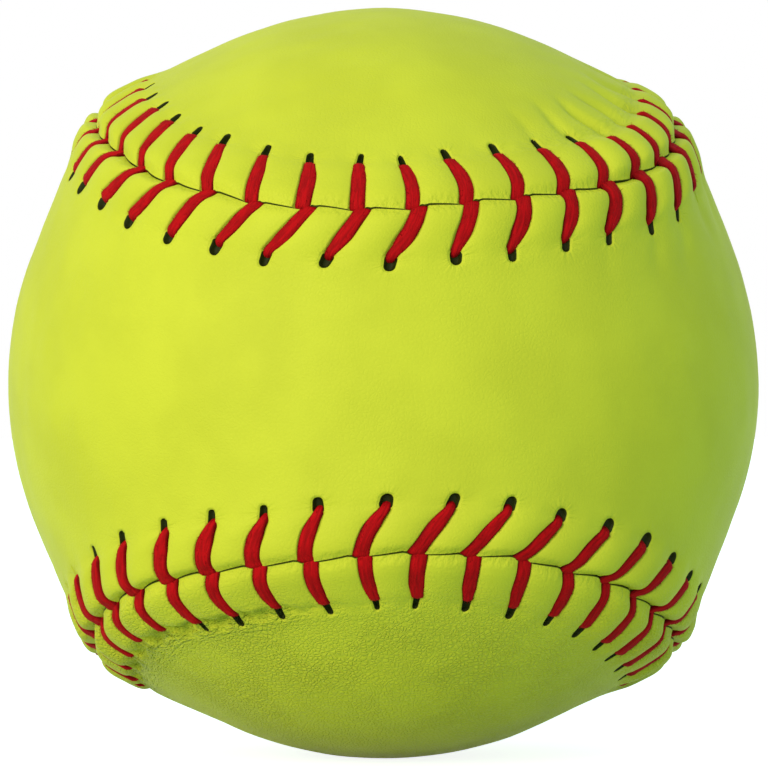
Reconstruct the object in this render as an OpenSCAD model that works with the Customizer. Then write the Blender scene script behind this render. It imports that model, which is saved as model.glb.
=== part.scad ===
// Twelve-inch softball: a moulded core, its cement, two figure-eight cover
// panels and the two threads that lace them together.
// Lengths are in millimetres. The ball's centre is the origin, and the waist
// of the front panel faces -Y.

/* [Ball] */
// Distance round the ball, over the panels and clear of the seam
circumference = 304.8; // [280:0.1:330]
// Width of a panel at its waist, from seam to seam over the surface
waist_w = 40.2; // [38:0.1:46]

/* [Cover] */
// Thickness of the synthetic leather
cover_t = 1.6; // [1.2:0.1:2]
// Thickness of the cement between the core and the cover
cement_t = 0.3; // [0.2:0.05:0.6]
// Room between the cement and the flat facets under a panel
cover_clear = 0.35; // [0.3:0.05:0.6]
// Gap between the two panels, where the threads dive
seam_gap = 0.9; // [0.8:0.05:1.4]

/* [Raised seam] */
// Height at which the slopes on both sides of the seam would meet
ridge_h = 3.7; // [2.6:0.1:4.6]
// Distance from the seam over which the cover comes back to the ball
ridge_w = 18.6; // [15:0.2:19]
// How far the edges of the panels are pulled down between the slopes
crease_h = 1.9; // [1:0.1:2.2]
// Distance from the seam over which that pull fades
crease_w = 1.5; // [1:0.1:2]
// How far the cover swells between two stitches
puff_h = 0.3; // [0:0.05:0.5]

/* [Stitching] */
// Stitches round the seam, always an even number
stitch_count = 88; // [72:2:100]
// Distance from the seam to a needle hole
hole_inset = 7.2; // [6:0.1:9]
// Diameter of a needle hole
hole_d = 1.5; // [1.4:0.05:1.9]
// Width of the flattened thread
thread_w = 1.7; // [1.2:0.05:2]
// Width of the thread where a stitch dives into the gap
dive_w = 1.2; // [0.9:0.05:1.4]
// Thickness of the flattened thread
thread_t = 0.6; // [0.4:0.05:0.6]
// Room between the thread and what it lies on or passes
thread_clear = 0.18; // [0.12:0.01:0.2]
// Distance along the seam from a front hole to its stitch
front_lean = 3; // [1:0.1:4]
// Distance along the seam from a back hole to its stitch
back_lean = 0.6; // [0:0.1:2]
// Distance along the seam between the two dives of a stitch
dive_split = 2.2; // [2:0.1:2.8]
// How far the front holes spread along the seam beside a waist
front_spread = 2.3; // [0:0.1:3]
// How far the back holes spread along the seam beside a waist
back_spread = 4.4; // [0:0.1:5]
// How far the stitches stray from even spacing, apart at the waists
stitch_drift = 1.2; // [0:0.1:1.5]

/* [Hidden] */
$fn = 96;

// Radii, from the cover inwards
ball_r = circumference / (2 * PI);
cover_inner_r = ball_r - cover_t;
cement_r = cover_inner_r - cover_clear;
core_r = cement_r - cement_t;

// The seam, followed by a turn of 0 to 720 degrees
full_turn = 720;
waist_angle = waist_w / ball_r * 90 / PI;
curve_n = 1440;
curve_step = full_turn / curve_n;

// Point of the seam on the unit sphere
function seam_dir(turn) =
    let (polar = 90 - (90 - waist_angle) * cos(turn),
         round = turn / 2 + waist_angle * sin(2 * turn))
    [-sin(polar) * sin(round), -cos(polar), sin(polar) * cos(round)];

function chord(i) = ball_r * norm(seam_dir((i + 1) * curve_step) - seam_dir(i * curve_step));

// Pairs of a length along the seam and its turn
curve = [for (i = 0, run = 0; i <= curve_n; run = run + chord(i), i = i + 1) [run, i * curve_step]];
seam_l = curve[curve_n][0];
pitch = seam_l / stitch_count;

function turn_at(s) =
    let (laps = floor(s / seam_l))
    lookup(s - laps * seam_l, curve) + laps * full_turn;

function unit(v) = v / norm(v);
function ahead_of(turn) = unit(seam_dir(turn + curve_step) - seam_dir(turn - curve_step));

// Direction of a place s along the seam and d beside it, positive on the front panel
function place(s, d) =
    let (turn = turn_at(s),
         p = seam_dir(turn),
         beside = unit(cross(p, ahead_of(turn))),
         angle = d / ball_r * 180 / PI)
    p * cos(angle) + beside * sin(angle);

// Height of the cover over the ball at a distance from the seam
function slope(d) = d < ridge_w ? ridge_h * pow(1 - d / ridge_w, 2) : 0;
function rise(d) = slope(d) - crease_h * exp(-pow(d / crease_w, 2));

// Length along the seam after a number of pitches, wider than even at the waists
function station(n) = n * pitch + stitch_drift * sin(full_turn * n / stitch_count);

// Stitches start half a pitch past the middle of the waist, so two of them
// flank each waist
phase_share = 0.5;
function stitch_s(k) = station(k + phase_share);

// Panels: odd samples of the seam lie on a stitch and even ones between two,
// and the cross lines join samples that face each other over the panel
seam_n = 2 * stitch_count;
half_n = seam_n / 2;
across_n = 5;
crest_share = 0.13;
foot_share = 0.42;
edge_row = seam_gap / 2;
crest_row = ridge_w * crest_share;
foot_row = ridge_w * foot_share;
outer_rows = [edge_row, crest_row, foot_row, ridge_w];
inner_rows = [edge_row, foot_row, ridge_w];
puff_shares = [0, 1, 0.4, 0];

function slerp(a, b, share) =
    let (angle = acos(a * b))
    (a * sin((1 - share) * angle) + b * sin(share * angle)) / sin(angle);

// Points of one skin: its rows beside the seam, then its cross lines
function skin_points(side, first, rows, r, puffs) = concat(
    [for (k = [0 : len(rows) - 1], i = [0 : seam_n - 1])
        let (puff = i % 2 == 0 ? puff_h * puffs[k] : 0)
        place(station(i / 2), side * rows[k]) * (r + rise(rows[k]) + puff)],
    [for (j = [1 : half_n - 1])
        let (a = place(station((first - j) / 2), side * ridge_w),
             b = place(station((first + j) / 2), side * ridge_w))
        for (k = [1 : across_n - 1]) slerp(a, b, k / across_n) * r]);

function skin_size(rows) = len(rows) * seam_n + (half_n - 1) * (across_n - 1);

// Index of a point on a row, and on a cross line from one lobe's end to the other's
function row_index(k, i) = k * seam_n + (i + seam_n) % seam_n;
function cross_index(rows, first, j, k) =
    j == 0 || j == half_n || k == 0 ? row_index(len(rows) - 1, first - j)
    : k == across_n ? row_index(len(rows) - 1, first + j)
    : len(rows) * seam_n + (j - 1) * (across_n - 1) + k - 1;

function flipped(faces) = [for (f = faces) [for (i = [len(f) - 1 : -1 : 0]) f[i]]];
function moved(faces, by) = [for (f = faces) [for (i = f) i + by]];

function skin_faces(rows, first) = concat(
    [for (k = [0 : len(rows) - 2], i = [0 : seam_n - 1])
        each [[row_index(k, i), row_index(k, i + 1), row_index(k + 1, i + 1)],
              [row_index(k, i), row_index(k + 1, i + 1), row_index(k + 1, i)]]],
    [for (j = [0 : half_n - 1], k = [0 : across_n - 1])
        let (a = cross_index(rows, first, j, k),
             b = cross_index(rows, first, j, k + 1),
             c = cross_index(rows, first, j + 1, k + 1),
             d = cross_index(rows, first, j + 1, k))
        each concat(a == b ? [] : [[a, d, b]], c == d ? [] : [[b, d, c]])]);

// Outer skin, inner skin and the wall along the seam, as one closed solid
function panel_faces(first) =
    let (inner = skin_size(outer_rows))
    concat(
        skin_faces(outer_rows, first),
        moved(flipped(skin_faces(inner_rows, first)), inner),
        [for (i = [0 : seam_n - 1])
            let (a = row_index(0, i), b = row_index(0, i + 1))
            each [[a, inner + a, inner + b], [a, inner + b, b]]]);

module panel_blank(side, first) {
    points = concat(
        skin_points(side, first, outer_rows, ball_r, puff_shares),
        skin_points(side, first, inner_rows, cover_inner_r, [0, 0, 0]));
    faces = panel_faces(first);
    polyhedron(points = points, faces = side > 0 ? flipped(faces) : faces);
}

// Needle holes, square to the ball
bore_overrun = 1;
bore_l = cover_t + 2 * bore_overrun;
bore_r = cover_inner_r + rise(hole_inset) - bore_overrun;

function lean(side) = side > 0 ? front_lean : back_lean;
function widest_spread(side) = side > 0 ? front_spread : back_spread;
function spread(k, side) = widest_spread(side) * sin(full_turn * stitch_s(k) / seam_l);
function hole_s(k, side) = stitch_s(k) + lean(side) + spread(k, side);
function hole_dir(k, side) = place(hole_s(k, side), side * hole_inset);

module needle_holes(side) {
    for (k = [1 : stitch_count]) {
        u = hole_dir(k, side);
        rotate([0, acos(u[2]), atan2(u[1], u[0])])
            translate([0, 0, bore_r])
                cylinder(h = bore_l, d = hole_d, $fn = 16);
    }
}

module panel(side, first) {
    difference() {
        panel_blank(side, first);
        needle_holes(side);
    }
}

// Threads: each leg comes up a hole, crosses the ridge, dives into the gap and
// runs under the other panel to the next hole
under_r = cement_r + thread_clear + thread_t;
hole_top_r = ball_r + rise(hole_inset) + puff_h * puff_shares[2] + thread_clear + thread_t / 2;
crest_top_r = ball_r + rise(crest_row) + puff_h + thread_clear + thread_t / 2;
dive_top_r = ball_r + rise(edge_row) + thread_clear + thread_t / 2;
hole_room = hole_d - 2 * thread_clear;
hole_w = sqrt(hole_room * hole_room - thread_t * thread_t);
tail_share = 0.5;

function dive_s(k, side) = stitch_s(k) - (side > 0 ? dive_split : 0);
function dive_dir(k, side) = place(dive_s(k, side), 0);

// Part of v that is square to u, as a unit vector
function square_to(u, v) = unit(v - u * (u * v));

// Four corners of the thread round a point
function ring(at, across, up, w, t) = [
    at + across * w / 2 + up * t / 2,
    at - across * w / 2 + up * t / 2,
    at - across * w / 2 - up * t / 2,
    at + across * w / 2 - up * t / 2];

// The cover's climb towards the seam, and its outward direction on that climb
grade_step = ridge_w / 100;
function grade(d) = (rise(d - grade_step) - rise(d + grade_step)) / (2 * grade_step);
function cover_normal(s, d, side) =
    let (p = place(s, side * d))
    unit(p + unit(place(s, side * (d + grade_step)) - p) * grade(d));

// Five rings from under a hole to the bottom of the gap
function leg(k, side) =
    let (h = hole_dir(k, side),
         d = dive_dir(k, side),
         next = hole_dir(k - 1, -side),
         crest_at = crest_row / hole_inset,
         c = place(hole_s(k, side) * crest_at + dive_s(k, side) * (1 - crest_at), side * crest_row),
         out = square_to(h, d - h),
         climb = unit(c * crest_top_r - h * hole_top_r),
         over = square_to(c, d - h),
         down = square_to(d, d - h),
         onward = square_to(d, next - d),
         along = ahead_of(turn_at(dive_s(k, side))),
         normal = cover_normal(hole_s(k, side), hole_inset, side),
         mitre_t = thread_t * sqrt(2))
    concat(
        ring(h * under_r, side * cross(h, out), -side * unit(h + out), hole_w, mitre_t),
        ring(h * hole_top_r, side * unit(cross(normal, climb)), side * unit(h - climb), hole_w, mitre_t),
        ring(c * crest_top_r, side * cross(c, over), side * c, thread_w, thread_t),
        ring(d * dive_top_r, along, side * unit(d + down), dive_w, mitre_t),
        ring(d * under_r, along, side * unit(d + onward), dive_w, mitre_t));

module thread(parity) {
    // The last leg leaves a short tail on its way to the first hole
    end_side = parity > 0 ? -1 : 1;
    d = dive_dir(1, end_side);
    h = hole_dir(0, -end_side);
    at = unit(d * (1 - tail_share) + h * tail_share);
    tail = ring(at * under_r, end_side * cross(at, square_to(at, h - d)), end_side * at, dive_w, thread_t);
    points = concat(
        [for (k = [stitch_count : -1 : 1]) each leg(k, k % 2 == 0 ? parity : -parity)],
        tail);
    rings = len(points) / 4;
    sides = [for (i = [0 : rings - 2], k = [0 : 3])
        let (a = 4 * i + k, b = 4 * i + (k + 1) % 4)
        each [[a, b + 4, b], [a, a + 4, b + 4]]];
    ends = [[0, 1, 2, 3], [for (k = [3 : -1 : 0]) 4 * rings - 4 + k]];
    polyhedron(points = points, faces = concat(ends, sides));
}

module core() {
    color("gainsboro")
        sphere(r = core_r);
}

module cement() {
    color("khaki")
        difference() {
            sphere(r = cement_r);
            sphere(r = core_r);
        }
}

module front_panel() {
    color("yellow")
        panel(1, half_n / 2);
}

module back_panel() {
    color("gold")
        panel(-1, 0);
}

module first_thread() {
    color("crimson")
        thread(1);
}

module second_thread() {
    color("firebrick")
        thread(-1);
}

core();
cement();
front_panel();
back_panel();
first_thread();
second_thread();
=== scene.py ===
import bpy
import math
import numpy as np
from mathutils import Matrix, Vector


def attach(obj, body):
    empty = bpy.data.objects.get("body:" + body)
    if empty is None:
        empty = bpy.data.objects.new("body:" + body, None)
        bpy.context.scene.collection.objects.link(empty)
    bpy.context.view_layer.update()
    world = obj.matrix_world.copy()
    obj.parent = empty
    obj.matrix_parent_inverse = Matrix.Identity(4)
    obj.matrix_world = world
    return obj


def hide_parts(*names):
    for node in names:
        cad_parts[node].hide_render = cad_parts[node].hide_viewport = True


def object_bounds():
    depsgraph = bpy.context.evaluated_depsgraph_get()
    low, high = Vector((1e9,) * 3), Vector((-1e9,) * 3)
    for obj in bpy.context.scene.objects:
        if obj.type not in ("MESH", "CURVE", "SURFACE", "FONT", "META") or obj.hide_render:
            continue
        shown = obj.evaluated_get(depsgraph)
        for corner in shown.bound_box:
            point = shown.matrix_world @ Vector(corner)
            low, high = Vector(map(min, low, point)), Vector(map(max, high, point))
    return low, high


# A twelve-inch softball: two yellow panels, laced along a raised seam with red thread.
# Lengths are in mm until a mesh is made, and Blender's are in metres.
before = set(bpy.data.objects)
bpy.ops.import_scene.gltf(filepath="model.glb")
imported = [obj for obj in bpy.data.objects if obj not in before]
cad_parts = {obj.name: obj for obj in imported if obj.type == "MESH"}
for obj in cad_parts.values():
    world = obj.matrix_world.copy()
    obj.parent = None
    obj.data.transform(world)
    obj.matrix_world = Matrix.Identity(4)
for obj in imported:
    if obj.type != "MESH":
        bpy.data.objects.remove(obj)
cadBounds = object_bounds()
print("frame loaded")

mm = 0.001
rng = np.random.default_rng(12)

ball = {
    "radius": 48.51,      # over the smooth cover
    "waist": 40.2,        # seam to seam over the narrow part of a panel
    "stitches": 88,
    "drift": 2.15,        # stitches lie further apart at the waists
    "creep": 0.3,         # and the lacing crept along the seam by this much
    "leather": 1.6,
    "underRadius": 47.5,  # where the thread runs hidden, under the cover
    # a hand-sewn seam strays from its ideal line: how far, where past a waist, and over what width
    "sway": [(0.8, 14, 6), (-1.2, 42, 11), (-0.35, -5, 7)],
}


def unit(v):
    return v / np.linalg.norm(v, axis=-1, keepdims=True)


def smooth(x, low, high):
    t = np.clip((x - low) / (high - low), 0, 1)
    return t * t * (3 - 2 * t)


def bell(x, width):
    return np.exp(-(x / width) ** 2)


# The seam is one closed curve. s is the way along it, d the distance beside it,
# and d is positive on the front panel.
waistAngle = ball["waist"] / ball["radius"] / 2


def seamPoint(turn):
    polar = math.pi / 2 - (math.pi / 2 - waistAngle) * np.cos(turn)
    around = turn / 2 + waistAngle * np.sin(2 * turn)
    x = -np.sin(polar) * np.sin(around)
    z = np.sin(polar) * np.cos(around)
    return np.stack([x, -np.cos(polar), z], -1)


turns = np.linspace(0, 4 * math.pi, 14401)
steps = np.linalg.norm(np.diff(seamPoint(turns), axis=0), axis=1) * ball["radius"]
runs = np.concatenate([[0], np.cumsum(steps)])
seamLength = runs[-1]
count = ball["stitches"]
pitch = seamLength / count
turnStep = 0.004


def seamFrame(s):
    turn = np.interp(np.mod(s, seamLength), runs, turns)
    point = seamPoint(turn)
    ahead = unit(seamPoint(turn + turnStep) - seamPoint(turn - turnStep))
    return point, ahead, unit(np.cross(point, ahead))


def pastWaist(s):
    # way along the seam from the nearest middle of the front panel's waist
    return np.mod(s + seamLength / 4, seamLength / 2) - seamLength / 4


def sway(s):
    x = pastWaist(s)
    return sum(size * bell(x - middle, width) for size, middle, width in ball["sway"])


def place(s, d):
    # direction from the ball's centre
    point, ahead, beside = seamFrame(s)
    angle = ((d + sway(s)) / ball["radius"])[..., None]
    return point * np.cos(angle) + beside * np.sin(angle)


def station(n):
    # way along the seam after n pitches
    lap = 2 * math.pi * n / count
    return n * pitch + ball["drift"] * np.sin(2 * lap) + ball["creep"] * (0.6 + np.cos(lap))


stationNumbers = np.linspace(-1, count + 1, 9001)


def pitchesTo(s):
    laps = np.floor(s / seamLength)
    return np.interp(s - laps * seamLength, station(stationNumbers), stationNumbers) + laps * count


def stitchAt(k):
    return station(k + 0.5)


# Where each stitch lies on the cover: s and d are measured from the stitch
sideNames = {1: "front", -1: "back"}
lacing = {
    "frontHole": (2.6, 5.4),
    "frontEnd": (-0.43, -0.05),
    "frontEndPlay": 1,
    "frontSpread": 1.15,    # holes drift along the seam beside a waist
    "frontSpreadEven": 1,   # less makes them drift later
    "frontPull": 0,         # holes sit closer to the seam where the cover bunches up
    "frontBow": (-0.3, 0.45),
    "frontSlot": 0.9,       # middle of a slot beyond the thread's bend
    "frontSlotHalf": (0.61, 1.05),
    "backHole": (0.85, 6.3),
    "backEnd": (0.27, 0.05),
    "backEndPlay": 0.4,
    "backSpread": 3.8,
    "backSpreadEven": 0.55,
    "backPull": 1.3,
    "backBow": (-0.3, 0.5),
    "backSlot": 0.95,
    "backSlotHalf": (0.54, 1.1),
    "slotTaper": 0.12,
    "slotOpening": 0.3,     # wider slots where the legs lie askew
    "pullStart": (24, 42),  # how far past the waist the pull grows
    "bunchStart": (16, 32),
    "bunchEnd": (70, 100),  # and where the cover lies smooth again
}


def handmade(size, mean=0):
    # no two stitches are pulled quite alike: one value for each front leg and each back leg
    front, back = mean + rng.uniform(-size, size, (2, count))
    return {1: front, -1: back}


hand = {
    "hole": handmade(0.28),
    "inset": handmade(0.22),
    "bow": handmade(0.2),
    "end": handmade(0.2),
    "width": handmade(0.07, 1),
    "dent": handmade(0.15, 1),
    "puff": handmade(0.35, 1),
    "slotTurn": handmade(0.14),
    "slotLength": handmade(0.16, 1),
    "slotWidth": handmade(0.12, 1),
}


def bunched(s, start):
    # on one side of each waist the cover bunches up past the holes
    x = -pastWaist(s)
    return smooth(x, *start) * (1 - smooth(x, *lacing["bunchEnd"]))


def sideWave(s):
    # 0 along both waists, 1 and -1 between them
    return np.sin(4 * math.pi * s / seamLength)


def legPoints(k, side):
    # hole, bend and end of a leg
    name = sideNames[side]
    n = k % count
    hole = np.array(lacing[name + "Hole"])
    end = np.array(lacing[name + "End"])
    wave = sideWave(stitchAt(k))
    even = lacing[name + "SpreadEven"]
    spread = lacing[name + "Spread"] * wave * (even + (1 - even) * wave ** 2)
    pull = lacing[name + "Pull"] * bunched(stitchAt(k), lacing["pullStart"])
    hole = hole + [spread + hand["hole"][side][n], hand["inset"][side][n] - pull]
    end = end + [hand["end"][side][n] * lacing[name + "EndPlay"], 0]
    mean, swing = lacing[name + "Bow"]
    bow = mean + swing * wave + hand["bow"][side][n]
    return hole, (hole + end) / 2 + [2 * bow, 0], end


thread = {
    "frontHalf": 0.97,     # half the width of a leg
    "frontNarrow": 0.2,    # less beside a waist, on one side
    "frontWide": 0.12,     # and more on the other
    "frontTaper": 0.6,     # width at the hole over that in the middle
    "frontSwell": 0.45,    # legs that lie askew are fuller near the hole
    "frontEndHalf": 1.12,  # half width along the seam where a leg goes down
    "frontDive": -0.5,     # and how far it slips along the seam there
    "backHalf": 1.03,
    "backNarrow": 0.12,
    "backTaper": 0.72,
    "backSwell": 0.5,
    "backThin": 0.25,      # and thinner near the seam
    "backEndHalf": 0.98,
    "backDive": 0.35,
    "askew": (0.35, 0.95),
    # uneven width: how much, how often along a leg, and shifted by how much from leg to leg
    "wobble": [(0.035, 7, 5), (0.02, 17, 3)],
    "halfThick": 0.5,
    "flatness": 0.8,       # less makes the section squarer
    "sink": 0.38,          # middle of the thread below the cover's slopes
    "proud": 0.2,          # less so where the cover bunches up
    "hiddenHalf": 0.55,
    "strands": 3,
    "strandHeight": 0.03,
    "twist": 16,           # mm to a turn, so the strands lie nearly straight
    "wander": [(0.12, 1.9), (0.1, 3.1)],  # and how they stray: by what share, over what length
    "around": 40,
    "legRings": 26,
    "hairs": 260,          # loose fibres on each leg
    "hairLength": (0.12, 0.42),
    "hairHalf": 0.03,      # thicker than real ones, so that they show
    "hairRise": (0.12, 0.75),
    "hairLean": (0.3, 1.2),
    "hairCurl": 0.35,
    "hairRoot": 0.04,      # how deep it starts inside the thread
}


def legHalf(k, side, u):
    # half the width of a leg at a share of its way from the hole to the seam
    wave = sideWave(stitchAt(k))
    width = hand["width"][side][k % count]
    askew = smooth(wave, *thread["askew"])
    if side > 0:
        middle = thread["frontHalf"] - thread["frontNarrow"] * wave
        middle = middle + thread["frontWide"] * smooth(-wave, 0.6, 1)
        taper = thread["frontTaper"] + 0.35 * smooth(wave, -0.2, 0.9)
        swell = 1 + thread["frontSwell"] * askew * (1 - smooth(u, 0.15, 0.75))
    else:
        middle = thread["backHalf"] * (1 - thread["backNarrow"] * wave ** 2)
        taper = thread["backTaper"] + 0.2 * askew
        swell = 1 + thread["backSwell"] * askew * (1 - smooth(u, 0.1, 0.75))
        swell = swell - thread["backThin"] * askew * smooth(u, 0.5, 0.95)
    return middle * width * swell * (taper + (1 - taper) * smooth(u, -0.02, 0.36))


def endHalf(k, side):
    # away from the waists the cover pinches the ends
    wave = sideWave(stitchAt(k))
    if side > 0:
        return (thread["frontEndHalf"] - 0.25 * wave) * (1 - 0.4 * smooth(wave, 0.5, 1))
    return thread["backEndHalf"] * (1 - 0.4 * smooth(wave, 0.2, 1) - 0.15 * smooth(-wave, 0.5, 1))


def legAt(k, side, u):
    # s and d of a leg, from its hole at 0 to its end in the seam at 1
    hole, control, end = legPoints(k, side)
    u = np.asarray(u, float)[..., None]
    spot = (1 - u) ** 2 * hole + 2 * u * (1 - u) * control + u ** 2 * end
    return stitchAt(k) + spot[..., 0], spot[..., 1]


# How far each leg lies from its stitch at a distance from the seam, and its slant there.
# Past the hole the line runs on as the needle's slot.
legD = np.linspace(0, 11, 56)
legShift = {}
legSlant = {}
holeD = {}
slotLean = {}
for side in (1, -1):
    shifts = []
    leans = []
    for k in range(count):
        s, d = legAt(k, side, np.linspace(1, 0, 80))
        slant = (s[-1] - s[-6]) / (d[-1] - d[-6])
        late = smooth(sideWave(stitchAt(k)), 0.4, 1)
        follow, turn = (0.3 + 0.2 * late, 0.3) if side > 0 else (0.4 + 0.4 * late, 0.5)
        lean = follow * math.atan(slant) - turn * late
        leans.append(lean + hand["slotTurn"][side][k])
        beyond = np.arange(0.2, 6, 0.2)
        onward = s[-1] + beyond * math.tan(leans[-1])
        line = np.append(s, onward) - stitchAt(k)
        shifts.append(np.interp(legD, np.append(d, d[-1] + beyond), line))
    legShift[side] = np.array(shifts)
    legSlant[side] = np.gradient(legShift[side], legD, axis=1)
    slotLean[side] = np.array(leans)
    holeD[side] = np.array([legPoints(k, side)[0][1] for k in range(count)])


def fromTable(table, k, d):
    x = np.clip(d / legD[-1] * (len(legD) - 1), 0, len(legD) - 1.001)
    i = x.astype(int)
    low = table[k % count, i]
    return low + (table[k % count, i + 1] - low) * (x - i)


def legPlace(k, d, side):
    return stitchAt(k) + fromTable(legShift[side], k, d)


def neighbourLegs(s, d, side):
    # the number of the leg before s, and the share of the way to the next one
    first = np.floor(pitchesTo(s)).astype(int) - 3
    before = first
    for step in range(1, 6):
        before = np.where(legPlace(first + step, d, side) <= s, first + step, before)
    here = legPlace(before, d, side)
    return before, (s - here) / (legPlace(before + 1, d, side) - here)


cover = {
    "ridgeHeight": 3.1,     # where the slopes of both panels would meet
    "ridgeWidth": 18.6,
    "creaseHeight": 1.0,    # the soft pull towards the seam
    "creaseWidth": 1.3,
    "frontFold": 0.72,      # the round turn at the very edge
    "backFold": 0.5,
    "foldWidth": 1.3,
    "grooveHeight": 0.45,   # each leg sinks into the leather
    "grooveEdge": (-0.22, 0.12),
    "grooveShare": 0.94,    # of the leg's own width
    "puffHeight": 0.5,      # and the leather swells between the legs
    "puffPower": 2.3,       # more makes the swell squarer
    "frontBunch": 0.3,      # the front panel bunches up less
    "waistRelief": 0.75,    # less so along the waists
    "holeLineHeight": 0.2,  # the lacing draws the leather down along the holes
    "holeLineWidth": 1.3,
    "slotDepth": 0.8,
    "slotWall": (0.45, 1.02),
    "rimDepth": 0.06,       # the leather draws in round a slot
    # some slots are pulled nearly shut: by what share, and from where past the waist
    "frontSqueeze": [(0.2, (8, 20)), (0.6, (36, 46))],
    "backSqueeze": [(0.8, (29, 36))],
    "gatherStart": (2, 26),
    "dipHeight": 0.8,       # hollows between the holes where the cover bunches up
    "dipWidth": 0.8,
    "longFold": 0.8,        # and folds that run on past the holes
    "longFoldWidth": 1.3,
    "longFoldEnd": (3, 10),
    "gap": 0.03,            # half the gap between the panels
    "gapAtStitch": 0.2,
    "zigzag": 0.45,         # the parting line steps aside at each stitch
    "tipBefore": -1.7,      # from here along the seam
    "tipAfter": 0.6,        # to here
    "scallop": 0.5,         # the back panel bulges over the seam between stitches
    "hillHeight": 0.06,
}


def slope(d):
    return cover["ridgeHeight"] * np.clip(1 - d / cover["ridgeWidth"], 0, 1) ** 2


def relief(s):
    # the cover is drawn in less along the waists
    return cover["waistRelief"] + (1 - cover["waistRelief"]) * smooth(sideWave(s) ** 2, 0.03, 0.5)


def softRise(s, d):
    return slope(d) - cover["creaseHeight"] * relief(s) * bell(d, cover["creaseWidth"])


def slotShape(s, d, side, n, away):
    # the needle's slot, a rounded trench: how deep, how far to its edge, and where from its middle
    name = sideNames[side]
    lean = slotLean[side][n]
    across = away * np.cos(lean)
    onward = (d - holeD[side][n] - lacing[name + "Slot"]) / np.cos(lean) + away * np.sin(lean)
    halfWidth, halfLength = lacing[name + "SlotHalf"]
    halfLength = halfLength * hand["slotLength"][side][n]
    squeeze = sum(size * bunched(s, start) for size, start in cover[name + "Squeeze"])
    taper = 1 - lacing["slotTaper"] * np.clip(onward / halfLength, -1, 1)
    wide = 1 + lacing["slotOpening"] * smooth(sideWave(s), 0.2, 0.9) - squeeze
    halfWidth = halfWidth * hand["slotWidth"][side][n] * taper * wide
    beyond = np.maximum(np.abs(onward) - halfLength + halfWidth, 0)
    reach = np.hypot(across, beyond) / halfWidth
    depth = cover["slotDepth"] * (1 - squeeze) * (1 - smooth(reach, *cover["slotWall"]))
    depth = depth + cover["rimDepth"] * bell(np.maximum(reach - 1, 0), 0.4)
    # a slot that is nearly shut gets no painted shade at its edge
    edge = (reach - 1) * halfWidth + 0.5 * smooth(squeeze, 0.6, 0.8)
    return depth, edge, across, onward


def longFolds(s, d, side, before):
    # folds that run on from the holes on both sides of a place
    height = 0
    for number in (before, before + 1):
        n = number % count
        far = d - holeD[side][n]
        aside = s - legPlace(number, d, side) + 0.4 * np.sin(0.7 * far + 2 * n)
        run = smooth(far, 0, 2) * (1 - smooth(far, *cover["longFoldEnd"]))
        ridge = bell(aside * np.cos(slotLean[side][n]), cover["longFoldWidth"])
        height = height + hand["puff"][side][n] * ridge * run
    return height


def coverShape(s, d, side):
    # height over the ball, and what the leather's material needs to know of each place
    before, share = neighbourLegs(s, d, side)
    nearest = np.where(share < 0.5, before, before + 1)
    n = nearest % count
    away = s - legPlace(nearest, d, side)
    apart = legPlace(before + 1, d, side) - legPlace(before, d, side)
    square = 1 / np.sqrt(1 + fromTable(legSlant[side], nearest, d) ** 2)
    legGap = np.abs(away) * square
    hole = holeD[side][before % count] * (1 - share) + holeD[side][(before + 1) % count] * share
    half = cover["grooveShare"] * legHalf(nearest, side, 1 - d / hole)
    bunch = bunched(s, lacing["bunchStart"]) * (1 if side < 0 else cover["frontBunch"])

    # rounded swell from one thread's edge to the next
    climb = np.clip((legGap - half) / (apart / 2 * square - half), 0, 1)
    past = smooth(d - hole, -0.3, 1.2)
    swell = (1 - (1 - climb) ** cover["puffPower"]) * (1 - past) + smooth(climb, 0, 1) * past
    puff = cover["puffHeight"] * relief(s) * hand["puff"][side][before % count] * (1 + 0.35 * bunch)
    puff = puff * (0.5 + 0.5 * smooth(d, 0, 1.3))
    puff = puff * (1 - smooth(d - hole, -1.5 + 0.7 * bunch, 3.2 - 1.7 * bunch))
    height = softRise(s, d) + puff * swell

    # the turned edge, the groove under each leg and the line that the lacing draws down
    edge = np.clip(1 - d / cover["foldWidth"], 0, 1) ** 2
    height = height - cover[sideNames[side] + "Fold"] * relief(s) ** 3 * edge
    groove = 1 - smooth(legGap - half, *cover["grooveEdge"])
    groove = groove * (1 - smooth(d, hole, hole + 0.6)) * hand["dent"][side][n]
    holeLine = bell(d - hole - 0.4, cover["holeLineWidth"]) * (1 - 0.6 * swell)
    height = height - cover["grooveHeight"] * groove - cover["holeLineHeight"] * holeLine

    # the back panel gathers below the lower seam and lies in long folds above the upper one
    upper = smooth(np.cos(2 * math.pi * s / seamLength), -0.2, 0.2)
    gathered = bunched(s, cover["gatherStart"]) * (1 - 0.8 * upper) * (side < 0)
    dip = bell(d - hole - 0.3 - 0.9 * climb, cover["dipWidth"]) * smooth(climb, 0, 0.4)
    height = height - cover["dipHeight"] * gathered * (1 - upper) * dip
    height = height - cover["longFold"] * bunch * upper * longFolds(s, d, side, before)

    depth, slotEdge, across, onward = slotShape(s, d, side, n, away)
    holeGap = np.hypot(across, onward)
    spoke = np.stack([across, onward], -1) / np.maximum(holeGap, 0.3)[..., None]
    return height - depth, {
        "slotEdge": slotEdge,
        "legGap": legGap - half + 3 * smooth(d, hole, hole + 1),
        "spokeX": spoke[..., 0],
        "spokeY": spoke[..., 1],
        "holeGap": holeGap,
        "stitchNumber": n + 0.5 * (side < 0),
        "seamRun": seamLength / 2 + np.abs(np.mod(s + seamLength / 4, seamLength) - seamLength / 2),
        "seamDist": d * np.ones(np.shape(s)),
        "gathered": gathered,
    }


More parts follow.
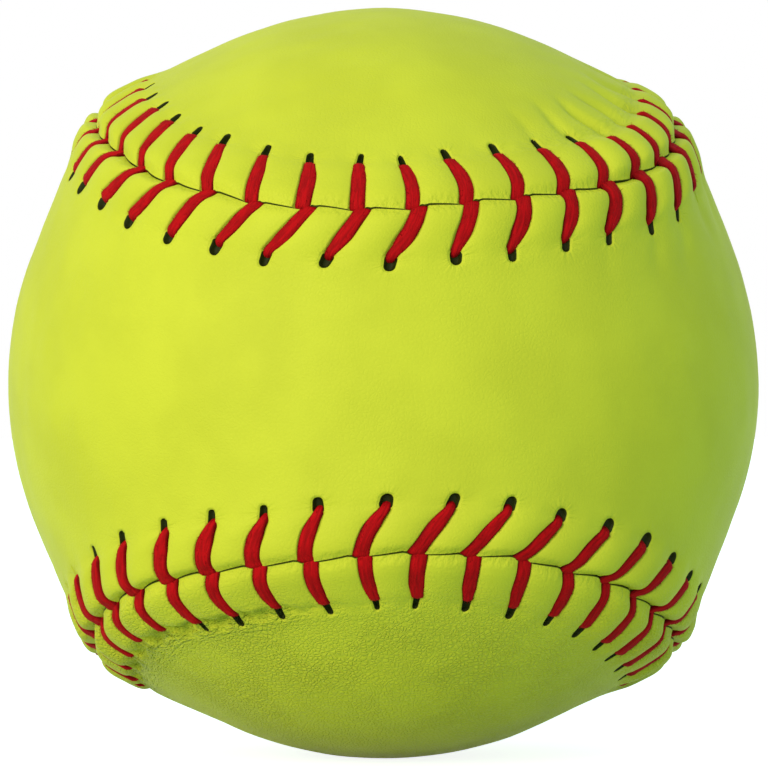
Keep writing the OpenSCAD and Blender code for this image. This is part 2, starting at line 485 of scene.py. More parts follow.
def seamShift(s):
    # the parting line drifts from each stitch's tip to the next stitch
    share = np.mod(pitchesTo(s) - 0.5, 1)
    arc = cover["scallop"] * smooth(sideWave(s) ** 2, 0.03, 0.45) * (4 * share * (1 - share) - 0.25)
    first = cover["tipBefore"]
    last = cover["tipAfter"]
    x = np.where(share * pitch > last, share * pitch - pitch, share * pitch)
    after = (first - x) / (pitch + first - last)
    drift = np.where(x < first, after, (x - first) / (last - first)) - 0.5
    return cover["zigzag"] * np.cos(2 * math.pi * s / seamLength) * drift + arc


def seamGap(s):
    # half the gap between the panels, wider where the threads go down
    x = np.mod(pitchesTo(s), 1) * pitch - pitch / 2 + 0.4
    return cover["gap"] + cover["gapAtStitch"] * (1 - smooth(np.abs(x), 0.4, 0.9))


def besideSeam(s, side, d):
    # direction of a place on a panel whose edge follows the parting line
    edge = side * seamGap(s) * math.exp(-d / 0.8) + seamShift(s) * math.exp(-d / 1.6)
    return place(s, side * d + edge)


def addMesh(name, points, faces, values):
    mesh = bpy.data.meshes.new(name)
    mesh.from_pydata((points * mm).tolist(), [], faces)
    mesh.polygons.foreach_set("use_smooth", np.ones(len(mesh.polygons), bool))
    for key, value in values.items():
        mesh.attributes.new(key, "FLOAT", "POINT").data.foreach_set("value", value.astype(np.float32))
    mesh.update()
    obj = bpy.data.objects.new(name, mesh)
    bpy.context.scene.collection.objects.link(obj)
    return obj


# Shares of the way from one leg to the next, close together beside the threads
halfShares = [0, 0.03, 0.058, 0.078, 0.093, 0.107, 0.12, 0.133, 0.147, 0.16]
halfShares += [0.173, 0.187, 0.203, 0.22, 0.243, 0.275, 0.32, 0.38, 0.44]

panel = {
    "shares": np.array(halfShares + [0.5] + [1 - share for share in halfShares[:0:-1]]),
    "across": 26,       # squares across the middle
    "acrossInside": 8,
    "rows": [
        np.array([0.0, 0.04, 0.1, 0.17, 0.26, 0.37, 0.5, 0.66, 0.84, 1.03]),
        np.arange(1.24, 4.3, 0.22),
        np.arange(4.4, 9.5, 0.15),
        np.array([9.6, 10, 10.5, 11.1, 11.8, 12.6, 13.5, 14.4, 15.4, 16.4, 17.5, 18.6]),
    ],
    "insideRows": [0.0, 7.2, 18.6],
    "insideDrop": 0.3,  # the inner side follows the ridge, lower by this much
    "insideRise": 1.4,  # and no higher than this
}


def columns(d, side):
    # places along the seam that follow the legs, and even out past the holes
    k = np.arange(count)[:, None]
    here = legPlace(k, d, side)
    along = here + (legPlace(k + 1, d, side) - here) * panel["shares"]
    even = station(k + 0.5 + panel["shares"])
    return (along + (even - along) * smooth(d, 8.5, 17)).ravel()


def ringFaces(first, rows, n):
    start = first + np.arange(rows - 1)[:, None] * n
    i = np.arange(n)
    after = (i + 1) % n
    return np.stack([start + i, start + after, start + after + n, start + i + n], -1).reshape(-1, 4)


def middleFaces(last, lobe, n, base, across):
    # squares between the lines that join facing points of the last row
    half = n // 2
    j = np.arange(half + 1)
    grid = np.zeros((half + 1, across + 1), int)
    grid[:, 0] = last + (lobe - j) % n
    grid[:, across] = last + (lobe + j) % n
    inner = np.arange((half - 1) * (across - 1)).reshape(half - 1, across - 1)
    grid[1:half, 1:across] = base + inner
    grid[0, :] = grid[0, 0]
    grid[half, :] = grid[half, 0]
    corners = np.stack([grid[:-1, :-1], grid[:-1, 1:], grid[1:, 1:], grid[1:, :-1]], -1)
    faces = corners[1:-1].reshape(-1, 4).tolist()
    faces += corners[0][:, [0, 2, 3]].tolist() + corners[-1][:, [0, 1, 2]].tolist()
    return faces


def middlePoints(edge, lobe, across):
    half = len(edge) // 2
    j = np.arange(1, half)
    a = edge[(lobe - j) % len(edge)][:, None]
    b = edge[(lobe + j) % len(edge)][:, None]
    angle = np.arccos(np.clip((a * b).sum(-1, keepdims=True), -1, 1))
    share = (np.arange(1, across) / across)[None, :, None]
    spread = (a * np.sin((1 - share) * angle) + b * np.sin(share * angle)) / np.sin(angle)
    return spread.reshape(-1, 3)


def makeWaves(number, size):
    waves = []
    for way in unit(rng.normal(size=(number, 3))):
        hill = size * rng.uniform(0.7, 1.5) / ball["radius"]
        waves.append((way * 2 * math.pi / hill, rng.uniform(0, 6.28)))
    return waves


def unevenness(directions, waves):
    return sum(np.sin(directions @ way + start) for way, start in waves) / 3


hills = makeWaves(9, 15)
ripples = makeWaves(12, 5)


def makePanel(name, side, lobe):
    perStitch = len(panel["shares"])
    n = count * perStitch
    lobe = int((lobe - 0.5) * perStitch) % n
    rows = np.concatenate(panel["rows"])
    directions = []
    heights = []
    values = {}
    for d in rows:
        s = columns(d, side)
        height, extra = coverShape(s, np.full(n, d), side)
        directions.append(besideSeam(s, side, d))
        heights.append(height)
        for key, value in extra.items():
            values.setdefault(key, []).append(value)
    middle = middlePoints(directions[-1], lobe, panel["across"])
    directions.append(middle)
    heights.append(np.zeros(len(middle)))
    outer = np.concatenate(directions)
    radius = ball["radius"] + np.concatenate(heights)
    radius = radius + cover["hillHeight"] * (unevenness(outer, hills) + 0.4 * unevenness(outer, ripples))
    inside = []
    for d in panel["insideRows"]:
        lift = np.clip(slope(d) - panel["insideDrop"], 0, panel["insideRise"])
        s = columns(d, side)
        inside.append(besideSeam(s, side, d) * (ball["radius"] - ball["leather"] + lift))
    back = middlePoints(unit(inside[-1]), lobe, panel["acrossInside"])
    inside.append(back * (ball["radius"] - ball["leather"]))
    points = np.concatenate([outer * radius[:, None]] + inside)
    below = len(outer)
    faces = ringFaces(0, len(rows), n).tolist()
    faces += middleFaces((len(rows) - 1) * n, lobe, n, len(rows) * n, panel["across"])
    insideRows = len(panel["insideRows"])
    inner = ringFaces(below, insideRows, n).tolist()
    last = below + (insideRows - 1) * n
    inner += middleFaces(last, lobe, n, below + insideRows * n, panel["acrossInside"])
    faces += [face[::-1] for face in inner]
    i = np.arange(n)
    after = (i + 1) % n
    faces += np.stack([i, below + i, below + after, after], -1).tolist()
    if side < 0:
        faces = [face[::-1] for face in faces]
    # the middle and the inner side are far from every stitch
    far = {"slotEdge": 9, "legGap": 9, "holeGap": 99, "seamDist": 30}
    filled = {}
    for key, parts in values.items():
        filled[key] = np.full(len(points), float(far.get(key, 0)))
        known = np.concatenate(parts)
        filled[key][:len(known)] = known
    # the inner side takes the painted shade of the seam's gap and edge
    filled["seamDist"][below:] = 0
    return addMesh(name, points, faces, filled)


frontPanel = makePanel("front_panel_leather", 1, count / 4)
backPanel = makePanel("back_panel_leather", -1, 0)
print("panels made, %d points each" % len(frontPanel.data.vertices))

# share of the leg and drop, from the bottom of the hole to the top
holeBend = [
    (-0.05, 2), (-0.049, 1.5), (-0.045, 1.05), (-0.037, 0.68),
    (-0.02, 0.36), (0.005, 0.15), (0.035, 0.04),
]
# and from the top of the leg down into the seam
frontBend = [(0.93, 0.02), (0.96, 0.07), (0.985, 0.17), (1.0, 0.36), (1.01, 0.7), (1.01, 1.2), (1.01, 1.7)]
backBend = [(0.92, 0.03), (0.95, 0.09), (0.975, 0.2), (1.0, 0.42), (1.01, 0.8), (1.02, 1.3), (1.03, 1.8)]


def legRings(k, side):
    # middle, half width and more of each ring of a leg, from the hole to the seam
    bend = frontBend if side > 0 else backBend
    along = np.linspace(holeBend[-1][0], bend[0][0], thread["legRings"])
    u = np.concatenate([[a for a, b in holeBend[:-1]], along, [a for a, b in bend[1:]]])
    level = np.interp(along, [along[0], along[-1]], [holeBend[-1][1], bend[0][1]])
    drop = np.concatenate([[b for a, b in holeBend[:-1]], level, [b for a, b in bend[1:]]])
    s, d = legAt(k, side, u)
    wobble = sum(size * np.sin(fast * u + shift * k) for size, fast, shift in thread["wobble"])
    width = legHalf(k, side, u) * (1 + wobble)
    skew = smooth(u, 0.72, 0.97)
    end = endHalf(k, side)
    width = width + (end - width) * skew
    sunk = smooth(drop, 0.25, 1.5) * (u > 0.5)
    width = width + (thread["hiddenHalf"] - end) * sunk
    s = s + thread[sideNames[side] + "Dive"] * sunk
    sink = thread["sink"] - thread["proud"] * bunched(stitchAt(k), lacing["bunchStart"])
    radius = ball["radius"] + softRise(s, np.abs(d)) - sink - drop
    middle = place(s, side * d) * radius[:, None]
    return middle, s, width, skew, drop < 0.3


# shares of a loose fibre's length, and its thickness there
hairShares = np.array([0, 0.35, 0.7, 1])
hairTaper = np.array([1, 0.85, 0.6, 0.15])


def looseFibres(middle, tangent, rim, seen):
    # thin curved prisms that stand off the visible side of a thread
    amount = thread["hairs"] * count
    ring = rng.choice(np.flatnonzero(seen), amount)
    spot = rng.integers(0, thread["around"], amount)
    outward = unit(middle[ring])
    root = rim[ring, spot]
    off = unit(root - middle[ring])
    rise = (off * outward).sum(-1)
    low, high = thread["hairRise"]
    shown = (rise > low) & (rise < high)
    ring = ring[shown]
    root = root[shown]
    off = off[shown]
    amount = len(ring)
    lean = thread["hairLean"]
    way = tangent[ring] * rng.choice([-1, 1], (amount, 1)) * rng.uniform(*lean, (amount, 1))
    way = unit(way + off * rng.uniform(*lean, (amount, 1)) + rng.normal(0, 0.3, (amount, 3)))
    length = rng.uniform(*thread["hairLength"], (amount, 1, 1))
    bend = rng.normal(0, thread["hairCurl"], (amount, 3)) - off * 0.3
    share = hairShares[None, :, None]
    line = length * (way[:, None] * share + bend[:, None] * share ** 2)
    line = root[:, None] - thread["hairRoot"] * off[:, None] + line
    first = unit(np.cross(way, rng.normal(size=(amount, 3))))
    second = np.cross(way, first)
    angle = np.arange(3) * 2 * math.pi / 3
    star = first[:, None] * np.cos(angle)[None, :, None] + second[:, None] * np.sin(angle)[None, :, None]
    radius = thread["hairHalf"] * hairTaper[None, :, None, None]
    points = line[:, :, None] + star[:, None] * radius
    base = np.arange(amount)[:, None, None] * 12
    row = np.arange(3)[None, :, None] * 3
    i = np.arange(3)[None, None, :]
    after = (i + 1) % 3
    faces = np.stack([base + row + i, base + row + after, base + row + 3 + after, base + row + 3 + i], -1)
    ends = (base + np.array([[2, 1, 0], [9, 10, 11]])).reshape(-1, 3)
    return points.reshape(-1, 3), faces.reshape(-1, 4), ends


def makeThread(name, parity):
    middles = []
    alongs = []
    widths = []
    skews = []
    onTop = []
    for k in range(count - 1, -1, -1):
        side = parity if k % 2 == 0 else -parity
        middle, s, width, skew, seen = legRings(k, side)
        if middles:
            # hidden run from the seam to this hole, under the cover
            share = np.array([0.25, 0.5, 0.75])[:, None]
            hidden = middles[-1][-1] * (1 - share) + middle[0] * share
            middles.append(unit(hidden) * ball["underRadius"])
            alongs.append(alongs[-1][-1] * (1 - share[:, 0]) + s[0] * share[:, 0])
            widths.append(np.full(3, thread["hiddenHalf"]))
            skews.append(np.zeros(3))
            onTop.append(np.zeros(3, bool))
        middles.append(middle)
        alongs.append(s)
        widths.append(width)
        skews.append(skew)
        onTop.append(seen)
    middle = np.concatenate(middles)
    along = np.concatenate(alongs)
    width = np.concatenate(widths)
    skew = np.concatenate(skews)[:, None]
    tangent = unit(np.gradient(middle, axis=0))
    ahead = seamFrame(along)[1]
    across = unit(ahead - tangent * (tangent * ahead).sum(-1, keepdims=True))
    across = unit(across * (1 - skew) + ahead * skew)
    up = unit(np.cross(tangent, across))
    run = np.concatenate([[0], np.cumsum(np.linalg.norm(np.diff(middle, axis=0), axis=1))])
    angle = np.arange(thread["around"]) * 2 * math.pi / thread["around"]
    side = np.cos(angle)[None, :]
    face = np.sign(np.sin(angle)) * np.abs(np.sin(angle)) ** thread["flatness"]
    drift = run / thread["twist"]
    for size, length in thread["wander"]:
        drift = drift + size * np.sin(run / length)
    strand = np.abs(np.sin(math.pi * (side * thread["strands"] / 2 + drift[:, None])))
    thick = thread["halfThick"] * (1 - 0.3 * skew) - thread["strandHeight"] * (1 - strand)
    points = middle[:, None, :] + across[:, None, :] * (side * width[:, None])[..., None]
    points = points + up[:, None, :] * (face[None, :] * thick)[..., None]
    rings = len(middle)
    faces = ringFaces(0, rings, thread["around"]).tolist()
    faces.append(list(range(thread["around"] - 1, -1, -1)))
    faces.append([(rings - 1) * thread["around"] + i for i in range(thread["around"])])
    fuzz, hairFaces, hairEnds = looseFibres(middle, tangent, points, np.concatenate(onTop))
    first = rings * thread["around"]
    faces += (hairFaces + first).tolist() + (hairEnds + first).tolist()
    loose = np.ones(len(fuzz))
    values = {
        "strand": np.append(strand.ravel(), loose),
        "threadRun": np.append(np.repeat(run, thread["around"]), rng.uniform(0, 99, len(fuzz))),
        "threadSide": np.append((side * width[:, None]).ravel(), loose),
        # 1 on the thread's two sides, where its material paints shade
        "threadEdge": np.append(np.repeat(np.abs(side), rings, axis=0).ravel(), 0.5 * loose),
    }
    return addMesh(name, np.concatenate([points.reshape(-1, 3), fuzz]), faces, values)


firstThread = makeThread("first_thread_waxed", 1)
secondThread = makeThread("second_thread_waxed", -1)
print("threads made, %d points each" % len(firstThread.data.vertices))


def linearColor(code):
    # sRGB hex to the linear colour that a shader takes
    parts = [int(code[i:i + 2], 16) / 255 for i in (1, 3, 5)]
    return [c / 12.92 if c <= 0.04045 else ((c + 0.055) / 1.055) ** 2.4 for c in parts] + [1]


def addNode(tree, kind, values=None, **settings):
    # values are numbers, or outputs to link, by socket name or number
    node = tree.nodes.new(kind)
    for key, value in settings.items():
        setattr(node, key, value)
    for key, value in (values or {}).items():
        if isinstance(value, bpy.types.NodeSocket):
            tree.links.new(value, node.inputs[key])
        else:
            node.inputs[key].default_value = value
    return node


def perSize(size):
    # texture scale for a pattern of that size in mm
    return 1 / (size * mm)


def newMaterial(name):
    material = bpy.data.materials.new(name)
    material.use_nodes = True
    tree = material.node_tree
    tree.nodes.clear()
    return material, tree


leather = {
    "color": "#CFD538",
    "deepColor": "#C7CD35",
    # painted shade: a darker olive laid beside the threads, along the seam, round the slots, in the grain's
    # creases and in the gathers
    "paintedShadeColor": "#8FA026",
    # painted shade: a near-black olive that fills the slots and the gap between the panels
    "recessShadeColor": "#252C08",
    "roughness": (0.48, 0.58),
    "specular": 0.12,
    "pitShade": 0.2,         # painted shade in the creases of the grain
    "flatGrain": 0.12,      # what is left of the grain, and of the painted shade in its creases, higher up on the ball
    # sizes and heights are in mm from here on
    # heights from the ball's centre: below the first the grain and the painted shade in its creases are full,
    # above the second only flatGrain of them is left
    "stretched": (-34, -22),
    "patch": 9.0,
    "mottle": 12.0,
    # size of the patches of painted shade in the gathers
    "shadePatch": 1.6,
    "grain": 0.55,          # pebbles of the embossed grain
    "grainHeight": 0.13,
    "pore": 0.16,           # coarser than real pores, so that they show
    "poreHeight": 0.012,
    "puckerHeight": 0.14,   # short wrinkles that run out from each hole
    "crumpleHeight": 0.75,  # wrinkles along the edge and along the holes
    # these are wrinkles to a mm, along the seam and away from it
    "lengthwise": (0.585, 2.08, 1),
    "crosswise": (1.56, 1.08, 1),
}


def makeLeather():
    # Synthetic leather, polyurethane on cloth, embossed: a satin skin with a fine pebble grain
    material, tree = newMaterial("synthetic_leather_optic_yellow")
    spot = addNode(tree, "ShaderNodeTexCoord").outputs["Object"]
    cells = {"Vector": spot, "Scale": perSize(leather["grain"])}
    crease = addNode(tree, "ShaderNodeTexVoronoi", cells, feature="DISTANCE_TO_EDGE")
    made = {
        "up": addNode(tree, "ShaderNodeSeparateXYZ", {0: spot}).outputs[2],
        "crease": crease.outputs["Distance"],
    }
    # what the mesh says of each place: how far it is from the seam, a slot or a thread
    for name in [
        "seamDist", "seamRun", "legGap", "slotEdge", "holeGap",
        "spokeX", "spokeY", "stitchNumber", "gathered",
    ]:
        made[name] = addNode(tree, "ShaderNodeAttribute", attribute_name=name).outputs["Fac"]

    # some wrinkles run out from a hole and differ from hole to hole, the others follow the seam
    spokes = {0: made["spokeX"], 1: made["spokeY"], 2: made["stitchNumber"]}
    spokes = addNode(tree, "ShaderNodeCombineXYZ", spokes).outputs[0]
    bySeam = {0: made["seamRun"], 1: made["seamDist"]}
    bySeam = addNode(tree, "ShaderNodeCombineXYZ", bySeam).outputs[0]
    for name, where, stretch, scale, detail in [
        ("patches", spot, (1, 1, 1), perSize(leather["patch"]), 2.0),
        ("mottle", spot, (1, 1, 1), perSize(leather["mottle"]), 3.0),
        ("shadePatches", spot, (1, 1, 1), perSize(leather["shadePatch"]), 3.0),
        ("pore", spot, (1, 1, 1), perSize(leather["pore"]), 2.0),
        ("pucker", spokes, (1, 1, 1.7), 4.5, 1.0),
        ("lengthwise", bySeam, leather["lengthwise"], 1.0, 2.0),
        ("crosswise", bySeam, leather["crosswise"], 1.0, 2.0),
    ]:
        stretched = addNode(tree, "ShaderNodeMapping", {"Vector": where, "Scale": stretch}).outputs[0]
        values = {"Vector": stretched, "Scale": scale, "Detail": detail}
        made[name] = addNode(tree, "ShaderNodeTexNoise", values).outputs["Fac"]

    # each follows another value from its start to its end: distances are in mm
    low, high = leather["stretched"]
    for name, source, start, end, atStart, atEnd in [
        ("mottle", "mottle", 0.3, 0.7, 0, 1),
        ("patches", "patches", 0.35, 0.65, 0.6, 1),
        ("below", "up", low * mm, high * mm, 1, leather["flatGrain"]),
        ("pebble", "crease", 0, 0.25, 0, 1),
        # painted shade in the grain's creases, strongest on the lower part of the ball
        ("pit", "crease", 0, 0.12, leather["pitShade"], 0),
        # painted shade beside each thread, along the seam's edge and round each slot's rim
        ("nearThread", "legGap", -0.05, 0.12, 0.6, 0),
        ("nearSeam", "seamDist", 0.02, 0.1, 0.8, 0),
        ("nearHole", "slotEdge", 0, 0.1, 0.25, 0),
        # painted shade in the hollows beyond the holes where the back panel gathers, in patches
        ("gatherStart", "seamDist", 4.4, 6.2, 0, 1),
        ("gatherEnd", "seamDist", 6.8, 8.8, 0.65, 0),
        ("shadePatches", "shadePatches", 0.35, 0.6, 0, 1),
        # painted shade: the slots and the gap between the panels filled with a dark colour
        ("inSlot", "slotEdge", -0.03, 0, 1, 0),
        ("inSeam", "seamDist", 0.03, 0.09, 0.8, 0),
        ("aroundHole", "holeGap", 0.9, 2.9, 1, 0),
        ("outsideSlot", "slotEdge", 0.03, 0.3, 0, 1),
        ("crumpleStart", "seamDist", 5.0, 6.6, 0, 1),
        ("crumpleEnd", "seamDist", 7.6, 10.5, 1, 0),
        ("atEdge", "seamDist", 0.2, 2.0, 0.4, 0),
        ("rough", "pore", 0.3, 0.7, *leather["roughness"]),
    ]:
        values = {
            "Value": made[source],
            "From Min": start,
            "From Max": end,
            "To Min": atStart,
            "To Max": atEnd,
        }
        ramp = addNode(tree, "ShaderNodeMapRange", values, interpolation_type="SMOOTHSTEP")
        made[name] = ramp.outputs[0]

    # each comes from two of the values so far
    for name, operation, first, second in [
        # strength of the grain and of its painted crease shade: full low on the ball, in random patches
        ("grainAndShadeBelow", "MULTIPLY", "patches", "below"),
        ("grain", "MULTIPLY", "pebble", "grainAndShadeBelow"),
        ("pit", "MULTIPLY", "pit", "grainAndShadeBelow"),
        # painted shade in the gathers, in patches
        ("gatherShade", "MULTIPLY", "gatherStart", "gatherEnd"),
        ("gatherShade", "MULTIPLY", "gatherShade", "gathered"),
        ("gatherShade", "MULTIPLY", "gatherShade", "shadePatches"),
        # all the painted shade together: beside the threads, along the seam, round the slots, in the grain's
        # creases and in the gathers
        ("paintedShade", "MAXIMUM", "nearThread", "nearSeam"),
        ("paintedShade", "MAXIMUM", "paintedShade", "nearHole"),
        ("paintedShade", "MAXIMUM", "paintedShade", "pit"),
        ("paintedShade", "MAXIMUM", "paintedShade", "gatherShade"),
        # painted shade in the slots and in the gap between the panels
        ("hole", "MAXIMUM", "inSlot", "inSeam"),
        ("pucker", "MULTIPLY", "pucker", "aroundHole"),
        ("pucker", "MULTIPLY", "pucker", "outsideSlot"),
        ("alongHoles", "MULTIPLY", "crumpleStart", "crumpleEnd"),
        ("alongHoles", "MULTIPLY", "alongHoles", "gathered"),
        ("alongHoles", "MULTIPLY", "alongHoles", "lengthwise"),
        ("alongEdge", "MULTIPLY", "atEdge", "crosswise"),
        ("crumple", "ADD", "alongHoles", "alongEdge"),
    ]:
        values = {0: made[first], 1: made[second]}
        made[name] = addNode(tree, "ShaderNodeMath", values, operation=operation).outputs[0]

    # the mottle is the leather's own tone; the other two mixes paint shade, in creases and in the slots and
    # the seam's gap
    color = linearColor(leather["deepColor"])
    for name, code in [("mottle", "color"), ("paintedShade", "paintedShadeColor"), ("hole", "recessShadeColor")]:
        values = {0: made[name], 6: color, 7: linearColor(leather[code])}
        color = addNode(tree, "ShaderNodeMix", values, data_type="RGBA").outputs[2]

    shader = {
        "Base Color": color,
        "Roughness": made["rough"],
        "IOR": 1.45,
        "Specular IOR Level": leather["specular"],
    }
    for name in ["grain", "pore", "pucker", "crumple"]:
        values = {"Height": made[name], "Distance": leather[name + "Height"] * mm}
        if "Normal" in shader:
            values["Normal"] = shader["Normal"]
        shader["Normal"] = addNode(tree, "ShaderNodeBump", values).outputs[0]
    surface = addNode(tree, "ShaderNodeBsdfPrincipled", shader).outputs[0]
    addNode(tree, "ShaderNodeOutputMaterial", {"Surface": surface})
    return material


cotton = {
    "color": "#BC0A12",
    # the thread's red, also laid as painted shade in the grooves between the strands
    "middleColor": "#A0080E",
    # dark red: random darker fibres, and painted shade on the thread's sides
    "darkColor": "#6A0307",
    "roughness": 0.75,
    "specular": 0.08,      # the wax has worn dull
    "sheen": 0.02,
    "sheenColor": "#FF5A50",
    "fibre": 0.1,          # mm across, coarser than real fibres, so that they show
    "fibreLength": 1.1,
    "fibreHeight": 0.045,
    "tuft": 0.32,
    "tuftLength": 2.4,
}


def makeThreadMaterial():
    # Waxed cotton, its strands pressed flat: soft lengthwise fibres under a dull sheen
    material, tree = newMaterial("waxed_cotton_red")
    made = {}
    for name in ["threadSide", "threadRun", "threadEdge", "strand"]:
        made[name] = addNode(tree, "ShaderNodeAttribute", attribute_name=name).outputs["Fac"]
    onThread = {0: made["threadSide"], 1: made["threadRun"]}
    onThread = addNode(tree, "ShaderNodeCombineXYZ", onThread).outputs[0]
    for name in ["fibre", "tuft"]:
        # noise stretched along the thread
        stretch = (1 / cotton[name], 1 / cotton[name + "Length"], 1)
        stretched = addNode(tree, "ShaderNodeMapping", {"Vector": onThread, "Scale": stretch}).outputs[0]
        values = {"Vector": stretched, "Scale": 1.0, "Detail": 2.0, "Distortion": 0.6}
        made[name] = addNode(tree, "ShaderNodeTexNoise", values).outputs["Fac"]
    color = linearColor(cotton["middleColor"])
    for source, start, end, atStart, atEnd, code in [
        ("tuft", 0.38, 0.6, 0, 1, "color"),
        ("fibre", 0.3, 0.46, 0.3, 0, "darkColor"),
        # painted shade in the grooves between the strands
        ("strand", 0, 0.3, 0.3, 0, "middleColor"),
        # painted shade: the thread's sides darker, where the rounded thread turns away
        ("threadEdge", 0.68, 0.92, 0, 0.8, "darkColor"),
    ]:
        values = {
            "Value": made[source],
            "From Min": start,
            "From Max": end,
            "To Min": atStart,
            "To Max": atEnd,
        }
        share = addNode(tree, "ShaderNodeMapRange", values).outputs[0]
        values = {0: share, 6: color, 7: linearColor(cotton[code])}
        color = addNode(tree, "ShaderNodeMix", values, data_type="RGBA").outputs[2]
    height = {0: made["fibre"], 1: made["tuft"]}
    height = addNode(tree, "ShaderNodeMath", height, operation="ADD").outputs[0]
    bump = addNode(tree, "ShaderNodeBump", {"Height": height, "Distance": cotton["fibreHeight"] * mm})
    shader = addNode(tree, "ShaderNodeBsdfPrincipled", {
        "Base Color": color,
        "Roughness": cotton["roughness"],
        "Normal": bump.outputs[0],
        "Specular IOR Level": cotton["specular"],
        "Sheen Weight": cotton["sheen"],
        "Sheen Roughness": 0.5,
        "Sheen Tint": linearColor(cotton["sheenColor"]),
    })
    addNode(tree, "ShaderNodeOutputMaterial", {"Surface": shader.outputs[0]})
    return material


foam = {
    "color": "#EDE6D0",
    "shadeColor": "#D9CFB4",
    "cloud": 9.0,          # mm
    "pinhole": 1.6,
    "pinholeHeight": 0.05,
    "roughness": 0.7,
}


def makeFoam():
    # Polyurethane foam, moulded in one piece: a dull cream skin with pinholes
    material, tree = newMaterial("moulded_polyurethane")
    spot = addNode(tree, "ShaderNodeTexCoord").outputs["Object"]
    values = {"Vector": spot, "Scale": perSize(foam["pinhole"])}
    pinholes = addNode(tree, "ShaderNodeTexVoronoi", values).outputs["Distance"]
    values = {"Vector": spot, "Scale": perSize(foam["cloud"]), "Detail": 4.0}
    cloud = addNode(tree, "ShaderNodeTexNoise", values).outputs["Fac"]
    values = {0: cloud, 6: linearColor(foam["shadeColor"]), 7: linearColor(foam["color"])}
    color = addNode(tree, "ShaderNodeMix", values, data_type="RGBA").outputs[2]
    bump = addNode(tree, "ShaderNodeBump", {"Height": pinholes, "Distance": foam["pinholeHeight"] * mm})
    shader = addNode(tree, "ShaderNodeBsdfPrincipled", {
        "Base Color": color,
        "Roughness": foam["roughness"],
        "Normal": bump.outputs[0],
    })
    addNode(tree, "ShaderNodeOutputMaterial", {"Surface": shader.outputs[0]})
    return material


latex = {
    "color": "#DCC78E",
    "streakColor": "#B89A5A",
    "streak": 6.0,         # mm
    "streakHeight": 0.06,
    "roughness": 0.35,
}


def makeCement():
    # Latex cement, brushed on and dried: an amber skin with brush streaks
    material, tree = newMaterial("dried_latex_cement")
    spot = addNode(tree, "ShaderNodeTexCoord").outputs["Object"]
    stretched = addNode(tree, "ShaderNodeMapping", {"Vector": spot, "Scale": (1, 1, 6)}).outputs[0]
    values = {"Vector": stretched, "Scale": perSize(latex["streak"]), "Detail": 5.0}
    streaks = addNode(tree, "ShaderNodeTexNoise", values).outputs["Fac"]
    values = {0: streaks, 6: linearColor(latex["streakColor"]), 7: linearColor(latex["color"])}
    color = addNode(tree, "ShaderNodeMix", values, data_type="RGBA").outputs[2]
    bump = addNode(tree, "ShaderNodeBump", {"Height": streaks, "Distance": latex["streakHeight"] * mm})
    shader = addNode(tree, "ShaderNodeBsdfPrincipled", {
        "Base Color": color,
        "Roughness": latex["roughness"],
        "Normal": bump.outputs[0],
    })
    addNode(tree, "ShaderNodeOutputMaterial", {"Surface": shader.outputs[0]})
    return material


coverMaterial = makeLeather()
threadMaterial = makeThreadMaterial()
for obj, node, slot, material in [
    (frontPanel, "front_panel", "cover", coverMaterial),
    (backPanel, "back_panel", "cover", coverMaterial),
    (firstThread, "first_thread", "thread", threadMaterial),
    (secondThread, "second_thread", "thread", threadMaterial),
]:
    obj.data.materials.append(material)
    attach(obj, "root")
    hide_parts(node)
for node, material in [("core", makeFoam()), ("cement", makeCement())]:
    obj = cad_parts[node]
    obj.data.materials.clear()
    obj.data.materials.append(material)
print("materials set")

studio = {
    "floorColor": "#C6DAD4",
    "floorGlow": 0.86,      # what the camera sees on top of the lit floor
    "floorHalf": 6.0,       # m
    "worldLight": 0.64,
    "worldColor": "#DAFFFF",
    "keyPlace": (-0.65, -0.94, 0.34),     # m
    "keySize": 0.9,
    "keyPower": 12.0,       # W
    "keyColor": (1.0, 0.81, 0.64),
    "cameraPlace": (-11.9, -582, -3.2),   # mm from the ball's centre
    "lens": 210.2,
    "shift": (0.0009, -0.0005),
}


def seenRay(tree):
    # 1 for what the camera sees straight, in a reflection or through glass
    rays = addNode(tree, "ShaderNodeLightPath").outputs
    seen = rays["Is Camera Ray"]
    for name in ["Is Glossy Ray", "Is Transmission Ray"]:
        seen = addNode(tree, "ShaderNodeMath", {0: seen, 1: rays[name]}, operation="MAXIMUM").outputs[0]
    return seen


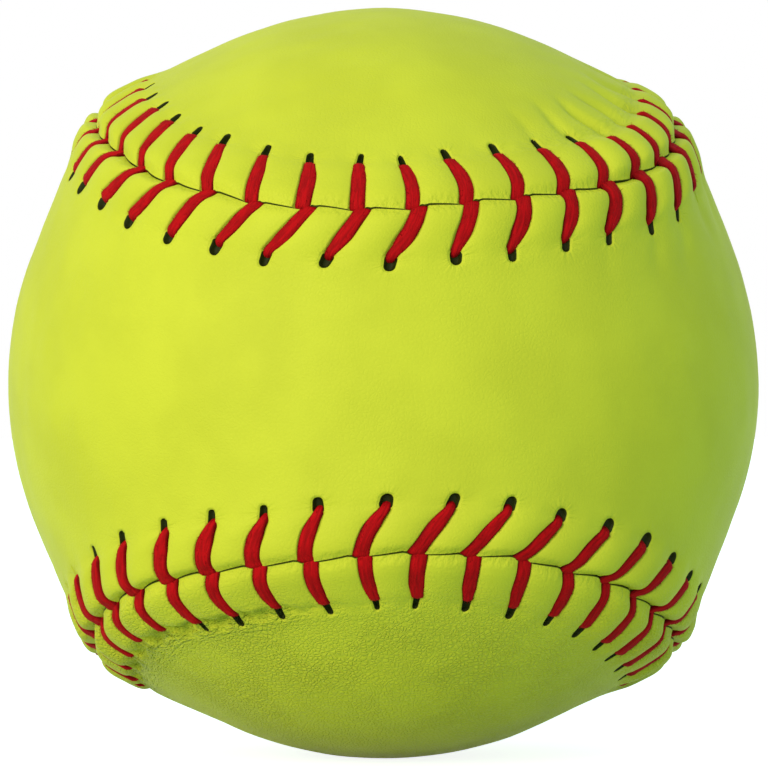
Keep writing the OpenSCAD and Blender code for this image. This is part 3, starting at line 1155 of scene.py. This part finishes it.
def makeFloor():
    material, tree = newMaterial("white_studio_paper")
    paper = addNode(tree, "ShaderNodeBsdfDiffuse", {"Color": linearColor(studio["floorColor"])})
    strength = {0: seenRay(tree), 1: studio["floorGlow"]}
    strength = addNode(tree, "ShaderNodeMath", strength, operation="MULTIPLY")
    glow = addNode(tree, "ShaderNodeEmission", {"Strength": strength.outputs[0]})
    both = addNode(tree, "ShaderNodeAddShader", {0: paper.outputs[0], 1: glow.outputs[0]})
    addNode(tree, "ShaderNodeOutputMaterial", {"Surface": both.outputs[0]})
    half = studio["floorHalf"]
    z = cadBounds[0][2] / mm
    corners = np.array([[-half, -half], [half, -half], [half, half], [-half, half]]) / mm
    points = np.column_stack([corners, np.full(4, z)])
    floor = addMesh("floor", points, [[0, 1, 2, 3]], {})
    floor.data.materials.append(material)


makeFloor()

world = bpy.data.worlds.new("studio")
bpy.context.scene.world = world
world.use_nodes = True
tree = world.node_tree
tree.nodes.clear()
seen = seenRay(tree)
strength = addNode(tree, "ShaderNodeMapRange", {"Value": seen, "To Min": studio["worldLight"], "To Max": 1.0})
tint = addNode(tree, "ShaderNodeMix", {
    0: seen,
    6: linearColor(studio["worldColor"]),
    7: linearColor("#FFFFFF"),
}, data_type="RGBA")
background = addNode(tree, "ShaderNodeBackground", {
    "Color": tint.outputs[2],
    "Strength": strength.outputs[0],
})
addNode(tree, "ShaderNodeOutputWorld", {"Surface": background.outputs[0]})

key = bpy.data.lights.new("key", "AREA")
key.size = studio["keySize"]
key.energy = studio["keyPower"]
key.color = studio["keyColor"]
keyObject = bpy.data.objects.new("key", key)
keyObject.location = studio["keyPlace"]
keyObject.rotation_euler = (-Vector(studio["keyPlace"])).to_track_quat("-Z", "Y").to_euler()
bpy.context.scene.collection.objects.link(keyObject)

camera = bpy.data.cameras.new("camera")
camera.lens = studio["lens"]
camera.sensor_width = 36
camera.shift_x, camera.shift_y = studio["shift"]
camera.clip_start = 0.05
cameraObject = bpy.data.objects.new("camera", camera)
cameraObject.location = Vector(studio["cameraPlace"]) * mm
cameraObject.rotation_euler = (-cameraObject.location).to_track_quat("-Z", "Y").to_euler()
bpy.context.scene.collection.objects.link(cameraObject)
bpy.context.scene.camera = cameraObject
bpy.context.scene.view_settings.view_transform = "Standard"
print("floor, light and camera set")
